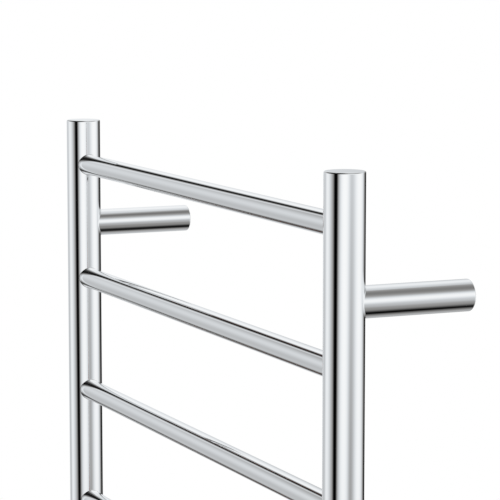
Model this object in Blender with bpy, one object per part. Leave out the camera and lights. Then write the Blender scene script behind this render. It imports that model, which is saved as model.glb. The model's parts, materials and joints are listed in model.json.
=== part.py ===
"""Electric ladder towel warmer: two uprights, a row of rungs, four wall posts and its wiring.

Metres, +Z up. The origin is on the wall plane, at the centre of the four wall posts.
+X runs along the rungs to the right, and +Y points into the wall.
"""

import math

import bmesh
import bpy
from mathutils import Vector

MM = 0.001

# Overall sizes
WIDTH = 600 * MM  # over both uprights
PROJECTION = 122 * MM  # wall to the front of the uprights
RUNG_COUNT = 7
RUNG_PITCH = 109 * MM
END_MARGIN = 42 * MM  # outermost rung's axis to the end of the uprights
POST_FROM_END = 99.5 * MM  # end of the uprights to the wall post's axis

# Clearance between neighbouring pieces, and the small edge breaks on turned pieces and on pins
GAP = 0.3 * MM
EDGE = 0.5 * MM
PIN_EDGE = 0.3 * MM

# Sides of the round pieces: tubes and caps, fittings, and pins and small holes
TUBE_SIDES = 24
FITTING_SIDES = 16
PIN_SIDES = 12
SHARP_ANGLE = math.radians(35)
WIRE_STEP = 0.05 * MM  # points of a wire's path nearer than this are dropped

# Tubes
UPRIGHT_OD = 32 * MM
UPRIGHT_WALL = 1.5 * MM
RUNG_OD = 19 * MM
RUNG_WALL = 1.2 * MM
RUNG_PROUD = 0.5 * MM  # rung's end past the upright's inner wall
POST_OD = 25 * MM
POST_WALL = 2.5 * MM
POST_EDGE = 1 * MM

# Caps of the uprights
TOP_DISC = 2 * MM
SPIGOT = 8 * MM
SPIGOT_WALL = 1.5 * MM
BOTTOM_DISC = 3 * MM
PLUG = 10 * MM
SEAL_SECTION = 1.2 * MM
SEAL_FROM_TOP = 1.8 * MM  # plug's inner face to the seal's centre
CAP_SCREW_OD = 3 * MM
CAP_SCREW_LENGTH = 4.5 * MM
CAP_SCREW_SOCKET = 1.5 * MM
CAP_SCREW_RISE = 4 * MM  # screw's axis above the disc

# Wall bosses, and the set screws that hold the posts on them
BOSS_LENGTH = 16 * MM
BOSS_BORE = 5.5 * MM
BOSS_HEAD_BORE = 11 * MM
BOSS_HEAD_DEPTH = 6 * MM
GROOVE_DEPTH = 2.2 * MM
GROOVE_SLOPE = 1.1 * MM
SET_SCREW_FROM_WALL = 8 * MM
SET_SCREW_OD = 5 * MM
SET_SCREW_SOCKET = 2.5 * MM
SOCKET_DEPTH = 1.8 * MM
SCREW_BELOW_FACE = 0.2 * MM

# Heating cable and leads
CABLE_OD = 4.5 * MM
CABLE_LIFT = 0.8 * MM  # cable above the rung's floor
CABLE_BEND_START = 1.5 * MM  # inside the rung's end
LEAD_OD = 2.4 * MM
LEAD_BEND = 4 * MM
LEAD_DROP = 2 * MM  # lead's axis below the lowest rung's
LEAD_WALL_GAP = 0.6 * MM
RETURN_SIDE = 9 * MM  # return lead in front of the upright's axis
SLEEVE_OD = 6 * MM
SLEEVE_LENGTH = 12 * MM
CUTOUT_OD = 7 * MM
CUTOUT_LENGTH = 14 * MM
CUTOUT_EDGE = 0.8 * MM
CUTOUT_RISE = 62 * MM  # top of the load lead's loop above the lowest rung's axis
CUTOUT_SIDE = 3 * MM
LOAD_SIDE = 7 * MM

# Terminal block, over the supply gland and against the upright's outer side
BLOCK_DEPTH = 11 * MM
BLOCK_WIDTH = 19 * MM
BLOCK_HEIGHT = 11 * MM
BLOCK_RISE = 5 * MM  # above the plug
BLOCK_WALL_GAP = 0.7 * MM  # at the block's corners
POLE_PITCH = 5.8 * MM
POLE_SCREW_OD = 3 * MM
POLE_SCREW_LENGTH = 3 * MM
LEAD_IN_POLE = 7.5 * MM
EARTH_IN_POLE = 2.5 * MM

# Earth tag and its screw, on the left plug
TAG_OD = 6.4 * MM
TAG_THICKNESS = 0.8 * MM
TAG_TONGUE = 2.6 * MM
TAG_REACH = 5.6 * MM
EARTH_SCREW_OD = 2.6 * MM
EARTH_SCREW_LENGTH = 5 * MM
EARTH_HEAD_OD = 5 * MM
EARTH_HEAD = 1.6 * MM
EARTH_LEAD_OD = 1.8 * MM

# Supply gland, screwed into the left plug
GASKET = 1 * MM
GLAND_THREAD_OD = 11.4 * MM
GLAND_BORE = 6.8 * MM
GLAND_HEX = 15 * MM
GLAND_HEX_HEIGHT = 4 * MM
GLAND_CUP_LENGTH = 6.5 * MM
GLAND_CUP_OD = 11.4 * MM
GLAND_SEAL_OD = 9.2 * MM
GLAND_SEAL_BORE = 6.2 * MM
GLAND_SEAL_LENGTH = 5.5 * MM
GLAND_NUT_OD = 15 * MM
GLAND_NUT_FLOOR = 2 * MM
GLAND_DOME = 2 * MM  # how far the nut draws in at its lower end
GLAND_DOME_RISE = 2.5 * MM

# Push switch, held in the right plug by its nut
SWITCH_BARREL_OD = 15.4 * MM
SWITCH_BORE = 12.4 * MM
SWITCH_FLANGE_OD = 20 * MM
SWITCH_FLANGE = 1.8 * MM
SWITCH_RISE = 24 * MM  # barrel's inner end above the end of the upright
SWITCH_NUT_HEX = 20 * MM
SWITCH_NUT_HEIGHT = 3 * MM
WEB_RISE = 12 * MM  # web's lower face above the end of the upright
WEB = 2 * MM
STEM_OD = 3.8 * MM
NECK_OD = 2.4 * MM
BUTTON_PROUD = 2 * MM
BUTTON_TRAVEL = 2.2 * MM
BUTTON_HEAD = 8 * MM
BASE_HEIGHT = 4.7 * MM
BRIDGE_LENGTH = 9.6 * MM
BRIDGE_WIDTH = 4.6 * MM
BRIDGE_THICKNESS = 1 * MM
BLADE_WIDTH = 2.6 * MM
BLADE_THICKNESS = 0.8 * MM
BLADE_SIDE = 3.4 * MM
BLADE_PROUD = 4 * MM  # blade above the barrel's inner end
LENS_WIDTH = 1.4 * MM
LENS_DEPTH = 0.8 * MM
LENS_OD = 17.4 * MM
SPRING_WIRE = 0.6 * MM
SPRING_OD = 8 * MM
SPRING_TURNS = 4

# Sizes that follow from the ones above
RACK_HEIGHT = (RUNG_COUNT - 1) * RUNG_PITCH + 2 * END_MARGIN
END_Z = -RACK_HEIGHT / 2
AXIS_X = (WIDTH - UPRIGHT_OD) / 2
AXIS_Y = -(PROJECTION - UPRIGHT_OD / 2)
UPRIGHT_R = UPRIGHT_OD / 2
UPRIGHT_IN = UPRIGHT_R - UPRIGHT_WALL
RUNG_R = RUNG_OD / 2
RUNG_IN = RUNG_R - RUNG_WALL
RUNG_END = math.sqrt(UPRIGHT_IN**2 - RUNG_R**2) - RUNG_PROUD  # rung's end to the upright's axis
POST_R = POST_OD / 2
POST_IN = POST_R - POST_WALL
BOSS_R = POST_IN - GAP
PLUG_R = UPRIGHT_IN - GAP
PLUG_TOP = END_Z + BOTTOM_DISC + PLUG
RUNG_HEIGHTS = [RACK_HEIGHT / 2 - END_MARGIN - row * RUNG_PITCH for row in range(RUNG_COUNT)]
LOW_RUNG = RUNG_HEIGHTS[-1]
POST_HEIGHT = RACK_HEIGHT / 2 - POST_FROM_END
CABLE_DROP = RUNG_IN - CABLE_OD / 2 - CABLE_LIFT  # cable's axis below the rung's
CABLE_BEND = RUNG_END + CABLE_BEND_START
LEAD_SIDE = math.sqrt((RUNG_IN - LEAD_OD / 2 - LEAD_WALL_GAP) ** 2 - LEAD_DROP**2)
SEAL_FLOOR = PLUG_R - SEAL_SECTION - GAP
EARTH_RADIUS = (GLAND_THREAD_OD / 2 + GAP + SEAL_FLOOR) / 2
BLOCK_TOP = PLUG_TOP + BLOCK_RISE + BLOCK_HEIGHT
BLOCK_SIDE = math.sqrt((UPRIGHT_IN - BLOCK_WALL_GAP) ** 2 - (BLOCK_WIDTH / 2) ** 2) - BLOCK_DEPTH / 2
FACE_Z = END_Z - GASKET - 2 * GAP  # inner face of the gland's hex and of the switch's flange

SIDES = {"left": -1, "right": 1}
UP = Vector((0, 0, 1))
DOWN = -UP
TO_WALL = Vector((0, 1, 0))
FROM_WALL = -TO_WALL
TO_RIGHT = Vector((1, 0, 0))


def look(name, color, roughness, metallic=0.0):
    """A plain finish, shared by every piece that has it."""
    finish = bpy.data.materials.new(name)
    finish.use_nodes = True
    surface = finish.node_tree.nodes["Principled BSDF"]
    surface.inputs["Base Color"].default_value = (*color, 1)
    surface.inputs["Roughness"].default_value = roughness
    surface.inputs["Metallic"].default_value = metallic
    finish.diffuse_color = (*color, 1)
    return finish


def placed(name, shape, finish, at=(0, 0, 0), along=UP):
    """An object of this bmesh, with its local +Z turned to the given direction."""
    bmesh.ops.recalc_face_normals(shape, faces=shape.faces)
    mesh = bpy.data.meshes.new(name)
    shape.to_mesh(mesh)
    shape.free()
    mesh.shade_smooth()
    mesh.set_sharp_from_angle(angle=SHARP_ANGLE)
    piece = bpy.data.objects.new(name, mesh)
    bpy.context.scene.collection.objects.link(piece)
    piece.location = at
    piece.rotation_euler = UP.rotation_difference(along).to_euler()
    if finish:
        mesh.materials.append(finish)
    return piece


def turned(name, outline, finish, at=(0, 0, 0), along=UP, sides=FITTING_SIDES):
    """A solid turned about its local Z from a closed (radius, height) outline."""
    shape = bmesh.new()
    rings = []
    for radius, height in outline:
        if radius == 0:
            rings.append([shape.verts.new((0, 0, height))] * sides)
            continue
        turns = [math.tau * side / sides for side in range(sides)]
        rings.append([shape.verts.new((radius * math.cos(t), radius * math.sin(t), height)) for t in turns])
    for here, following in zip(rings, rings[1:] + rings[:1]):
        for side in range(sides):
            ahead = (side + 1) % sides
            corners = list(dict.fromkeys([here[side], here[ahead], following[ahead], following[side]]))
            if len(corners) > 2:
                shape.faces.new(corners)
    return placed(name, shape, finish, at, along)


def ring(name, inner, outer, start, end, finish, at, along=UP, sides=FITTING_SIDES):
    """A straight tube or flat ring between two heights, with square ends."""
    outline = [(inner, start), (outer, start), (outer, end), (inner, end)]
    return turned(name, outline, finish, at, along, sides)


def rod(name, radius, start, end, finish, at, along=UP, sides=PIN_SIDES, edge=PIN_EDGE):
    """A solid pin, its edges broken at both ends."""
    outline = [
        (0, start),
        (radius - edge, start),
        (radius, start + edge),
        (radius, end - edge),
        (radius - edge, end),
        (0, end),
    ]
    return turned(name, outline, finish, at, along, sides)


def bar(name, size, at, finish, edge=0.0):
    """A box centred on a point, its edges broken where an edge is given."""
    shape = bmesh.new()
    bmesh.ops.create_cube(shape, size=1)
    bmesh.ops.scale(shape, vec=size, verts=shape.verts)
    if edge:
        bmesh.ops.bevel(shape, geom=shape.edges[:], offset=edge, segments=1, affect="EDGES")
    return placed(name, shape, finish, at)


def helper(piece):
    """Marks a shape that only cuts another or joins it."""
    piece.hide_render = True
    piece.display_type = "WIRE"
    return piece


def combine(piece, other, operation="DIFFERENCE"):
    """Cuts the helper from the piece, or joins it to the piece."""
    change = piece.modifiers.new(other.name, "BOOLEAN")
    change.operation = operation
    change.solver = "EXACT"
    change.object = helper(other)
    return piece


def bore(piece, radius, start, end, sides=FITTING_SIDES):
    """Drills a straight hole between two points."""
    start = Vector(start)
    way = Vector(end) - start
    shape = bmesh.new()
    bmesh.ops.create_cone(
        shape, cap_ends=True, segments=sides, radius1=radius, radius2=radius, depth=way.length
    )
    drill = placed(piece.name + "_drill", shape, None, start + way / 2, way.normalized())
    return combine(piece, drill)


def hexagon(name, across_flats, height, at):
    """A hexagonal prism that rises from a point."""
    shape = bmesh.new()
    corner = across_flats / 2 / math.cos(math.pi / 6)
    bmesh.ops.create_cone(
        shape, cap_ends=True, segments=6, radius1=corner, radius2=corner, depth=height
    )
    bmesh.ops.translate(shape, vec=(0, 0, height / 2), verts=shape.verts)
    return placed(name, shape, None, at)


def set_screw(name, diameter, length, across_flats, finish, at, outward):
    """A hex socket set screw. The point given is the middle of its socket end."""
    at = Vector(at)
    screw = rod(name, diameter / 2, -length, 0, finish, at, outward)
    corner = across_flats / 2 / math.cos(math.pi / 6)
    return bore(screw, corner, at - outward * SOCKET_DEPTH, at + outward * MM, sides=6)


def ring_seal(name, radius, section, finish, at):
    """A round seal ring with a round section."""
    steps = 6
    outline = []
    for step in range(steps):
        turn = math.tau * step / steps
        outline.append((radius + section / 2 * math.cos(turn), section / 2 * math.sin(turn)))
    return turned(name, outline, finish, at)


def route(corners, bend, steps=4):
    """Points along a path whose corners are rounded, no further than half of each straight."""
    corners = [Vector(corner) for corner in corners]
    points = [corners[0]]
    for before, corner, after in zip(corners, corners[1:], corners[2:]):
        back = before - corner
        on = after - corner
        start = corner + back.normalized() * min(bend, back.length / 2)
        end = corner + on.normalized() * min(bend, on.length / 2)
        for step in range(steps + 1):
            share = step / steps
            points.append(start.lerp(corner, share).lerp(corner.lerp(end, share), share))
    points.append(corners[-1])
    return points


def wire(name, points, diameter, finish, resolution=2):
    """A round wire along a path, closed at both ends."""
    path = bpy.data.curves.new(name, "CURVE")
    path.dimensions = "3D"
    path.bevel_depth = diameter / 2
    path.bevel_resolution = resolution
    path.use_fill_caps = True
    run = path.splines.new("POLY")
    kept = [points[0]]
    for point in points[1:]:
        if (Vector(point) - Vector(kept[-1])).length > WIRE_STEP:
            kept.append(point)
    run.points.add(len(kept) - 1)
    for spot, point in zip(run.points, kept):
        spot.co = (*point, 1)
    path.materials.append(finish)
    piece = bpy.data.objects.new(name, path)
    bpy.context.scene.collection.objects.link(piece)
    return piece


def upright(side, way, chrome):
    """A tube with a hole for each rung on its inner side, and one for its cap screw behind."""
    at = Vector((way * AXIS_X, AXIS_Y, 0))
    low = END_Z + BOTTOM_DISC + GAP
    high = -END_Z - TOP_DISC - GAP
    piece = ring("upright_" + side, UPRIGHT_IN, UPRIGHT_R, low, high, chrome, at, sides=TUBE_SIDES)
    for height in RUNG_HEIGHTS:
        start = at + UP * height
        bore(piece, RUNG_R + GAP, start, start - TO_RIGHT * way * (UPRIGHT_R + EDGE), TUBE_SIDES)
    screw = at + UP * (END_Z + BOTTOM_DISC + CAP_SCREW_RISE)
    bore(piece, CAP_SCREW_OD / 2 + GAP, screw, screw + TO_WALL * (UPRIGHT_R + EDGE), PIN_SIDES)


def rungs(chrome):
    """The thinner tubes whose ends stand in the uprights' holes."""
    reach = AXIS_X - RUNG_END
    for row, height in enumerate(RUNG_HEIGHTS, 1):
        name = "rung_" + str(row)
        at = (0, AXIS_Y, height)
        ring(name, RUNG_IN, RUNG_R, -reach, reach, chrome, at, TO_RIGHT, TUBE_SIDES)


def top_cap(side, way, chrome):
    """A flat disc with a hollow spigot that stands in the upright."""
    inner = PLUG_R - SPIGOT_WALL
    outline = [
        (0, 0),
        (inner, 0),
        (inner, -SPIGOT),
        (PLUG_R, -SPIGOT),
        (PLUG_R, 0),
        (UPRIGHT_R, 0),
        (UPRIGHT_R, TOP_DISC - EDGE),
        (UPRIGHT_R - EDGE, TOP_DISC),
        (0, TOP_DISC),
    ]
    at = (way * AXIS_X, AXIS_Y, -END_Z - TOP_DISC)
    turned("top_cap_" + side, outline, chrome, at, sides=TUBE_SIDES)


def bottom_cap(side, way, hole, chrome):
    """A bored plug with a disc below it, a groove for its seal and a hole for its screw."""
    at = Vector((way * AXIS_X, AXIS_Y, END_Z))
    top = BOTTOM_DISC + PLUG
    groove = top - SEAL_FROM_TOP
    half = SEAL_SECTION / 2 + GAP
    outline = [
        (hole, 0),
        (UPRIGHT_R - EDGE, 0),
        (UPRIGHT_R, EDGE),
        (UPRIGHT_R, BOTTOM_DISC),
        (PLUG_R, BOTTOM_DISC),
        (PLUG_R, groove - half),
        (SEAL_FLOOR, groove - half),
        (SEAL_FLOOR, groove + half),
        (PLUG_R, groove + half),
        (PLUG_R, top),
        (hole, top),
    ]
    piece = turned("bottom_cap_" + side, outline, chrome, at, sides=TUBE_SIDES)
    screw = at + UP * (BOTTOM_DISC + CAP_SCREW_RISE)
    tip = UPRIGHT_R - SCREW_BELOW_FACE - CAP_SCREW_LENGTH - GAP
    start = screw + TO_WALL * tip
    bore(piece, CAP_SCREW_OD / 2 + GAP, start, screw + TO_WALL * (PLUG_R + EDGE), PIN_SIDES)
    return piece


def cap_fixings(side, way, rubber, steel):
    """The bottom plug's seal ring, and the screw that locks the plug from behind."""
    at = Vector((way * AXIS_X, AXIS_Y, END_Z + BOTTOM_DISC))
    middle = PLUG_R - SEAL_SECTION / 2
    ring_seal("cap_seal_" + side, middle, SEAL_SECTION, rubber, at + UP * (PLUG - SEAL_FROM_TOP))
    screw = at + UP * CAP_SCREW_RISE + TO_WALL * (UPRIGHT_R - SCREW_BELOW_FACE)
    name = "cap_screw_" + side
    set_screw(name, CAP_SCREW_OD, CAP_SCREW_LENGTH, CAP_SCREW_SOCKET, steel, screw, TO_WALL)


def wall_mount(place, way, height, looks):
    """A post coped to the upright's back, the boss inside its wall end, and the set screw below."""
    at = Vector((way * AXIS_X, 0, height))
    reach = -AXIS_Y
    post = turned(
        "wall_post_" + place,
        [
            (POST_IN, 0),
            (POST_R - POST_EDGE, 0),
            (POST_R, POST_EDGE),
            (POST_R, reach),
            (POST_IN, reach),
        ],
        looks["chrome"],
        at,
        FROM_WALL,
        TUBE_SIDES,
    )
    upright_axis = at + FROM_WALL * reach
    bore(post, UPRIGHT_R + GAP, upright_axis - UP * POST_OD, upright_axis + UP * POST_OD, TUBE_SIDES)
    screw = at + FROM_WALL * SET_SCREW_FROM_WALL
    bore(post, SET_SCREW_OD / 2 + GAP, screw, screw + DOWN * (POST_R + EDGE), PIN_SIDES)
    turned("wall_boss_" + place, boss_outline(), looks["steel"], at, FROM_WALL)
    length = POST_R - SCREW_BELOW_FACE - (BOSS_R - GROOVE_DEPTH + GAP)
    start = screw + DOWN * (POST_R - SCREW_BELOW_FACE)
    name = "set_screw_" + place
    set_screw(name, SET_SCREW_OD, length, SET_SCREW_SOCKET, looks["steel"], start, DOWN)


def boss_outline():
    """A boss with a bore and a head recess for the wall screw, and a groove for the set screw."""
    floor = SET_SCREW_OD / 2 + GAP + EDGE
    return [
        (BOSS_BORE / 2, 0),
        (BOSS_R, 0),
        (BOSS_R, SET_SCREW_FROM_WALL - floor - GROOVE_SLOPE),
        (BOSS_R - GROOVE_DEPTH, SET_SCREW_FROM_WALL - floor),
        (BOSS_R - GROOVE_DEPTH, SET_SCREW_FROM_WALL + floor),
        (BOSS_R, SET_SCREW_FROM_WALL + floor + GROOVE_SLOPE),
        (BOSS_R, BOSS_LENGTH - EDGE),
        (BOSS_R - EDGE, BOSS_LENGTH),
        (BOSS_HEAD_BORE / 2, BOSS_LENGTH),
        (BOSS_HEAD_BORE / 2, BOSS_LENGTH - BOSS_HEAD_DEPTH),
        (BOSS_BORE / 2, BOSS_LENGTH - BOSS_HEAD_DEPTH),
    ]


def heating_cable(silicone):
    """One cable through every rung, from the lowest at the right, turning in the uprights."""
    start = Vector((AXIS_X - CUTOUT_SIDE, AXIS_Y, cable_start()))
    corners = [start]
    way = 1
    for height in reversed(RUNG_HEIGHTS):
        level = height - CABLE_DROP
        near = way * (AXIS_X - (CUTOUT_SIDE if height == LOW_RUNG else 0))
        corners.append((near, AXIS_Y, level))
        corners.append((-way * AXIS_X, AXIS_Y, level))
        way = -way
    corners.append((way * AXIS_X, AXIS_Y, cable_end()))
    wire("heating_cable", route(corners, CABLE_BEND), CABLE_OD, silicone)


def cable_start():
    """Height of the cable's first end, under the sleeve that joins it to the cutout."""
    return LOW_RUNG + CUTOUT_RISE - LEAD_BEND - CUTOUT_LENGTH - SLEEVE_LENGTH - 3 * GAP


def cable_end():
    """Height of the cable's last end, over the sleeve that joins it to the return lead."""
    return RUNG_HEIGHTS[0] - CABLE_DROP - 2 * CABLE_BEND


def joints_and_cutout(sleeve, steel):
    """The two crimp sleeves at the cable's ends, and the thermal cutout before the first."""
    first = Vector((AXIS_X - CUTOUT_SIDE, AXIS_Y, cable_start() + GAP))
    rod("start_sleeve", SLEEVE_OD / 2, 0, SLEEVE_LENGTH, sleeve, first)
    above = first + UP * (SLEEVE_LENGTH + GAP)
    rod("thermal_cutout", CUTOUT_OD / 2, 0, CUTOUT_LENGTH, steel, above, edge=CUTOUT_EDGE)
    last = Vector((last_way() * AXIS_X, AXIS_Y, cable_end() - GAP - SLEEVE_LENGTH))
    rod("end_sleeve", SLEEVE_OD / 2, 0, SLEEVE_LENGTH, sleeve, last)


def last_way():
    """The side where the cable ends: left for an odd number of rungs."""
    return -1 if RUNG_COUNT % 2 else 1


def leads(looks):
    """The leads between the terminal block, the switch, the cutout and the cable's far end."""
    left = Vector((-AXIS_X, AXIS_Y, 0))
    right = Vector((AXIS_X, AXIS_Y, 0))
    pole = left - TO_RIGHT * BLOCK_SIDE
    in_block = UP * (BLOCK_TOP - LEAD_IN_POLE)
    level = LOW_RUNG - LEAD_DROP
    blade_top = END_Z + SWITCH_RISE + BLADE_PROUD + GAP
    live = [
        pole + TO_WALL * POLE_PITCH + in_block,
        pole + TO_WALL * POLE_PITCH + UP * BLOCK_TOP,
        pole + TO_WALL * POLE_PITCH + UP * level,
        left + Vector((RUNG_END, LEAD_SIDE, level)),
        right + Vector((-RUNG_END, LEAD_SIDE, level)),
        right + Vector((0, BLADE_SIDE, level)),
        right + Vector((0, BLADE_SIDE, blade_top)),
    ]
    wire("live_lead", route(live, LEAD_BEND), LEAD_OD, looks["brown"])
    loop = LOW_RUNG + CUTOUT_RISE
    load = [
        right + Vector((0, -BLADE_SIDE, blade_top)),
        right + Vector((0, -BLADE_SIDE, level)),
        right + Vector((LOAD_SIDE, -BLADE_SIDE, level)),
        right + Vector((LOAD_SIDE, 0, loop)),
        right + Vector((-CUTOUT_SIDE, 0, loop)),
        right + Vector((-CUTOUT_SIDE, 0, loop - LEAD_BEND + GAP)),
    ]
    wire("load_lead", route(load, LEAD_BEND), LEAD_OD, looks["black"])
    far = Vector((last_way() * AXIS_X, AXIS_Y, 0))
    below = cable_end() - 2 * GAP - SLEEVE_LENGTH
    neutral = [
        far + UP * below,
        far + UP * (below - CABLE_BEND),
        far + Vector((0, -RETURN_SIDE, below - 3 * CABLE_BEND)),
        left + Vector((0, -RETURN_SIDE, BLOCK_TOP + CABLE_BEND)),
        pole - TO_WALL * POLE_PITCH + UP * (BLOCK_TOP + LEAD_BEND),
        pole - TO_WALL * POLE_PITCH + in_block,
    ]
    wire("return_lead", route(neutral, LEAD_BEND), LEAD_OD, looks["blue"])


def terminal_block(looks):
    """A three pole ceramic block: live, earth and neutral, each with its clamping screw."""
    at = Vector((-AXIS_X - BLOCK_SIDE, AXIS_Y, BLOCK_TOP - BLOCK_HEIGHT / 2))
    size = (BLOCK_DEPTH, BLOCK_WIDTH, BLOCK_HEIGHT)
    block = bar("terminal_block", size, at, looks["ceramic"], EDGE)
    half = UP * (BLOCK_HEIGHT / 2 + EDGE)
    grip = LEAD_OD / 2 + GAP
    for place, name in enumerate(("neutral", "earth", "live"), -1):
        pole = at + TO_WALL * POLE_PITCH * place
        bore(block, LEAD_OD / 2 + GAP, pole - half, pole + half, PIN_SIDES)
        outside = pole - TO_RIGHT * (BLOCK_DEPTH / 2 + EDGE)
        bore(block, POLE_SCREW_OD / 2 + GAP, pole, outside, PIN_SIDES)
        tip = pole - TO_RIGHT * grip
        title = "terminal_screw_" + name
        rod(title, POLE_SCREW_OD / 2, 0, POLE_SCREW_LENGTH, looks["brass"], tip, -TO_RIGHT)


def earth_bond(looks):
    """A tag under a screw in the left plug, and the short lead from it to the earth pole."""
    at = Vector((-AXIS_X + EARTH_RADIUS, AXIS_Y, PLUG_TOP + GAP))
    hole = EARTH_SCREW_OD / 2 + GAP
    tag = ring("earth_tag", hole, TAG_OD / 2, 0, TAG_THICKNESS, looks["brass"], at)
    start = (hole + TAG_OD / 2) / 2
    length = TAG_REACH - start
    thickness = TAG_THICKNESS / 2
    middle = at + Vector((-start - length / 2, 0, TAG_THICKNESS / 2))
    combine(tag, bar("earth_tag_tongue", (length, TAG_TONGUE, thickness), middle, None), "UNION")
    head = TAG_THICKNESS + GAP
    screw = [
        (0, -EARTH_SCREW_LENGTH),
        (EARTH_SCREW_OD / 2, -EARTH_SCREW_LENGTH),
        (EARTH_SCREW_OD / 2, head),
        (EARTH_HEAD_OD / 2, head),
        (EARTH_HEAD_OD / 2, head + EARTH_HEAD / 2),
        (EARTH_HEAD_OD / 2 - EDGE, head + EARTH_HEAD),
        (0, head + EARTH_HEAD),
    ]
    turned("earth_screw", screw, looks["steel"], at, sides=PIN_SIDES)
    rise = TAG_THICKNESS + GAP + EARTH_LEAD_OD / 2
    pole = Vector((-AXIS_X - BLOCK_SIDE, AXIS_Y, BLOCK_TOP - BLOCK_HEIGHT + EARTH_IN_POLE))
    lead = [
        at + Vector((EARTH_LEAD_OD / 2 - TAG_REACH, 0, rise)),
        Vector((pole.x, pole.y, at.z + rise)),
        pole,
    ]
    wire("earth_lead", route(lead, LEAD_BEND), EARTH_LEAD_OD, looks["green"])


def gasket(name, way, hole, outer, rubber):
    """A flat ring between an upright's bottom cap and what is fitted in it."""
    ring(name, hole, outer, 0, GASKET, rubber, (way * AXIS_X, AXIS_Y, END_Z - GAP - GASKET))


def supply_gland(looks):
    """A threaded gland in the left plug: body, rubber sleeve and dome nut, with no cable in it."""
    at = Vector((-AXIS_X, AXIS_Y, FACE_Z))
    thread = PLUG_TOP - FACE_Z
    cup = GLAND_SEAL_OD / 2 + GAP
    low = -GLAND_HEX_HEIGHT - GLAND_CUP_LENGTH
    shelf = low + GLAND_SEAL_LENGTH
    body = [
        (GLAND_BORE / 2, thread),
        (GLAND_BORE / 2, shelf + GAP),
        (cup, shelf + GAP),
        (cup, low),
        (GLAND_CUP_OD / 2, low),
        (GLAND_CUP_OD / 2, -GLAND_HEX_HEIGHT / 2),
        (GLAND_THREAD_OD / 2, -GLAND_HEX_HEIGHT / 2),
        (GLAND_THREAD_OD / 2, thread),
    ]
    piece = turned("gland_body", body, looks["nickel"], at)
    flats = hexagon("gland_flats", GLAND_HEX, GLAND_HEX_HEIGHT, at - UP * GLAND_HEX_HEIGHT)
    bore(flats, GLAND_CUP_OD / 2 - EDGE, at - UP * 2 * GLAND_HEX_HEIGHT, at + UP * EDGE)
    combine(piece, flats, "UNION")
    ring("gland_seal", GLAND_SEAL_BORE / 2, GLAND_SEAL_OD / 2, low, shelf, looks["rubber"], at)
    inner = GLAND_CUP_OD / 2 + GAP
    outer = GLAND_NUT_OD / 2
    top = -GLAND_HEX_HEIGHT - GAP
    floor = low - GAP
    bottom = floor - GLAND_NUT_FLOOR
    nut = [
        (inner, top),
        (inner, floor),
        (GLAND_BORE / 2, floor),
        (GLAND_BORE / 2, bottom),
        (outer - GLAND_DOME, bottom),
        (outer - GLAND_DOME / 4, bottom + GLAND_DOME / 2),
        (outer, bottom + GLAND_DOME_RISE),
        (outer, top - EDGE),
        (outer - EDGE, top),
    ]
    turned("gland_nut", nut, looks["nickel"], at)
    gasket("gland_gasket", -1, GLAND_THREAD_OD / 2 + GAP, GLAND_HEX / 2, looks["rubber"])


def switch_case(looks):
    """The switch's barrel and flange, its nut, its gasket, its lens ring and its base."""
    at = Vector((AXIS_X, AXIS_Y, END_Z))
    face = FACE_Z - END_Z
    front = face - SWITCH_FLANGE
    outer = SWITCH_BARREL_OD / 2
    inner = SWITCH_BORE / 2
    lens_out = LENS_OD / 2
    lens_in = lens_out - LENS_WIDTH
    seat = front + LENS_DEPTH + GAP
    stem = STEM_OD / 2 + GAP
    body = [
        (inner, front),
        (lens_in - GAP, front),
        (lens_in - GAP, seat),
        (lens_out + GAP, seat),
        (lens_out + GAP, front),
        (SWITCH_FLANGE_OD / 2 - EDGE, front),
        (SWITCH_FLANGE_OD / 2, front + EDGE),
        (SWITCH_FLANGE_OD / 2, face),
        (outer, face),
        (outer, SWITCH_RISE),
        (inner, SWITCH_RISE),
        (inner, WEB_RISE + WEB),
        (stem, WEB_RISE + WEB),
        (stem, WEB_RISE),
        (inner, WEB_RISE),
    ]
    turned("switch_body", body, looks["chrome"], at)
    gasket("switch_gasket", 1, outer + GAP, SWITCH_FLANGE_OD / 2 - EDGE, looks["rubber"])
    ring("indicator_ring", lens_in, lens_out, front, seat - GAP, looks["lens"], at)
    nut_at = at + UP * (PLUG_TOP - END_Z + GAP)
    nut = hexagon("switch_nut", SWITCH_NUT_HEX, SWITCH_NUT_HEIGHT, nut_at)
    nut.data.materials.append(looks["nickel"])
    bore(nut, outer + GAP, nut_at - UP * MM, nut_at + UP * (SWITCH_NUT_HEIGHT + MM))
    low = SWITCH_RISE - BASE_HEIGHT
    base = rod("switch_base", inner - GAP, low, SWITCH_RISE, looks["black"], at, sides=FITTING_SIDES)
    for name, side in (("line", 1), ("load", -1)):
        switch_blade(name, side, base, at, looks["brass"])


def switch_blade(name, side, base, at, brass):
    """A flat contact blade through its slot in the switch's base."""
    bottom = WEB_RISE + WEB + GAP + BRIDGE_THICKNESS + BUTTON_TRAVEL + GAP
    top = SWITCH_RISE + BLADE_PROUD
    spot = at + Vector((0, side * BLADE_SIDE, (bottom + top) / 2))
    size = Vector((BLADE_WIDTH, BLADE_THICKNESS, top - bottom))
    slot = bar("switch_slot_" + name, size + Vector((GAP, GAP, GAP)) * 2, spot, None)
    combine(base, slot)
    bar("switch_blade_" + name, size, spot, brass)


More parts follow.
